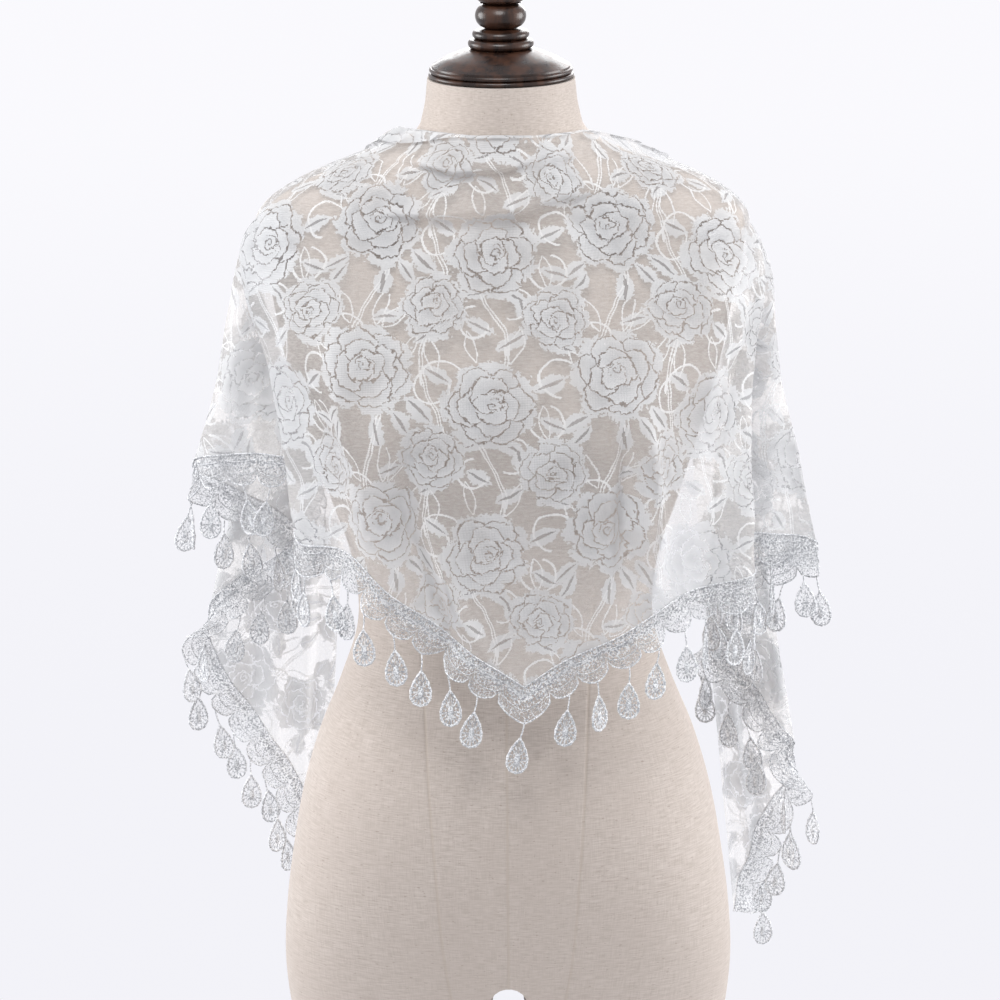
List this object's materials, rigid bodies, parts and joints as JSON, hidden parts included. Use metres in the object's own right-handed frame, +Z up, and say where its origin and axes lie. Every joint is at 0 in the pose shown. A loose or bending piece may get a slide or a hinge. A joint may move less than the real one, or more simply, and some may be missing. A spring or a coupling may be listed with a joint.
{
  "type": "mantilla on a dress form",
  "caption": "Triangular lace shawl with scalloped trim and teardrop pendants, worn point to the front on a linen dress form with a turned wooden cap and stand.",
  "frame": {"origin": "middle of the stand base's underside", "axes": "+Z up along the pole, -Y the way the form faces, +X to the right of someone who looks at its front"},
  "size_m": [0.5292, 0.33, 1.5458],
  "materials": {
    "silver_lace": "pale silver-grey net lace with woven roses, see-through between them",
    "silver_guipure": "silver-grey embroidered guipure, matt thread with a slight sheen",
    "linen": "natural slubby linen, matt",
    "dark_walnut": "turned wood, dark satin lacquer",
    "dark_steel": "dark satin steel"
  },
  "bodies": {
    "root": {"lace_front": "silver_lace", "lace_left_wing": "silver_lace", "lace_left_tail": "silver_lace", "lace_right_wing": "silver_lace", "lace_right_tail": "silver_lace", "trim_front": "silver_guipure", "trim_left_wing": "silver_guipure", "trim_left_tail": "silver_guipure", "trim_right_wing": "silver_guipure", "trim_right_tail": "silver_guipure", "torso": "linen", "neck_cap": "dark_walnut", "finial": "dark_walnut", "bottom_board": "dark_walnut", "stand_base": "dark_walnut", "pole_collar": "dark_steel", "pole": "dark_steel"}
  },
  "joints": []
}
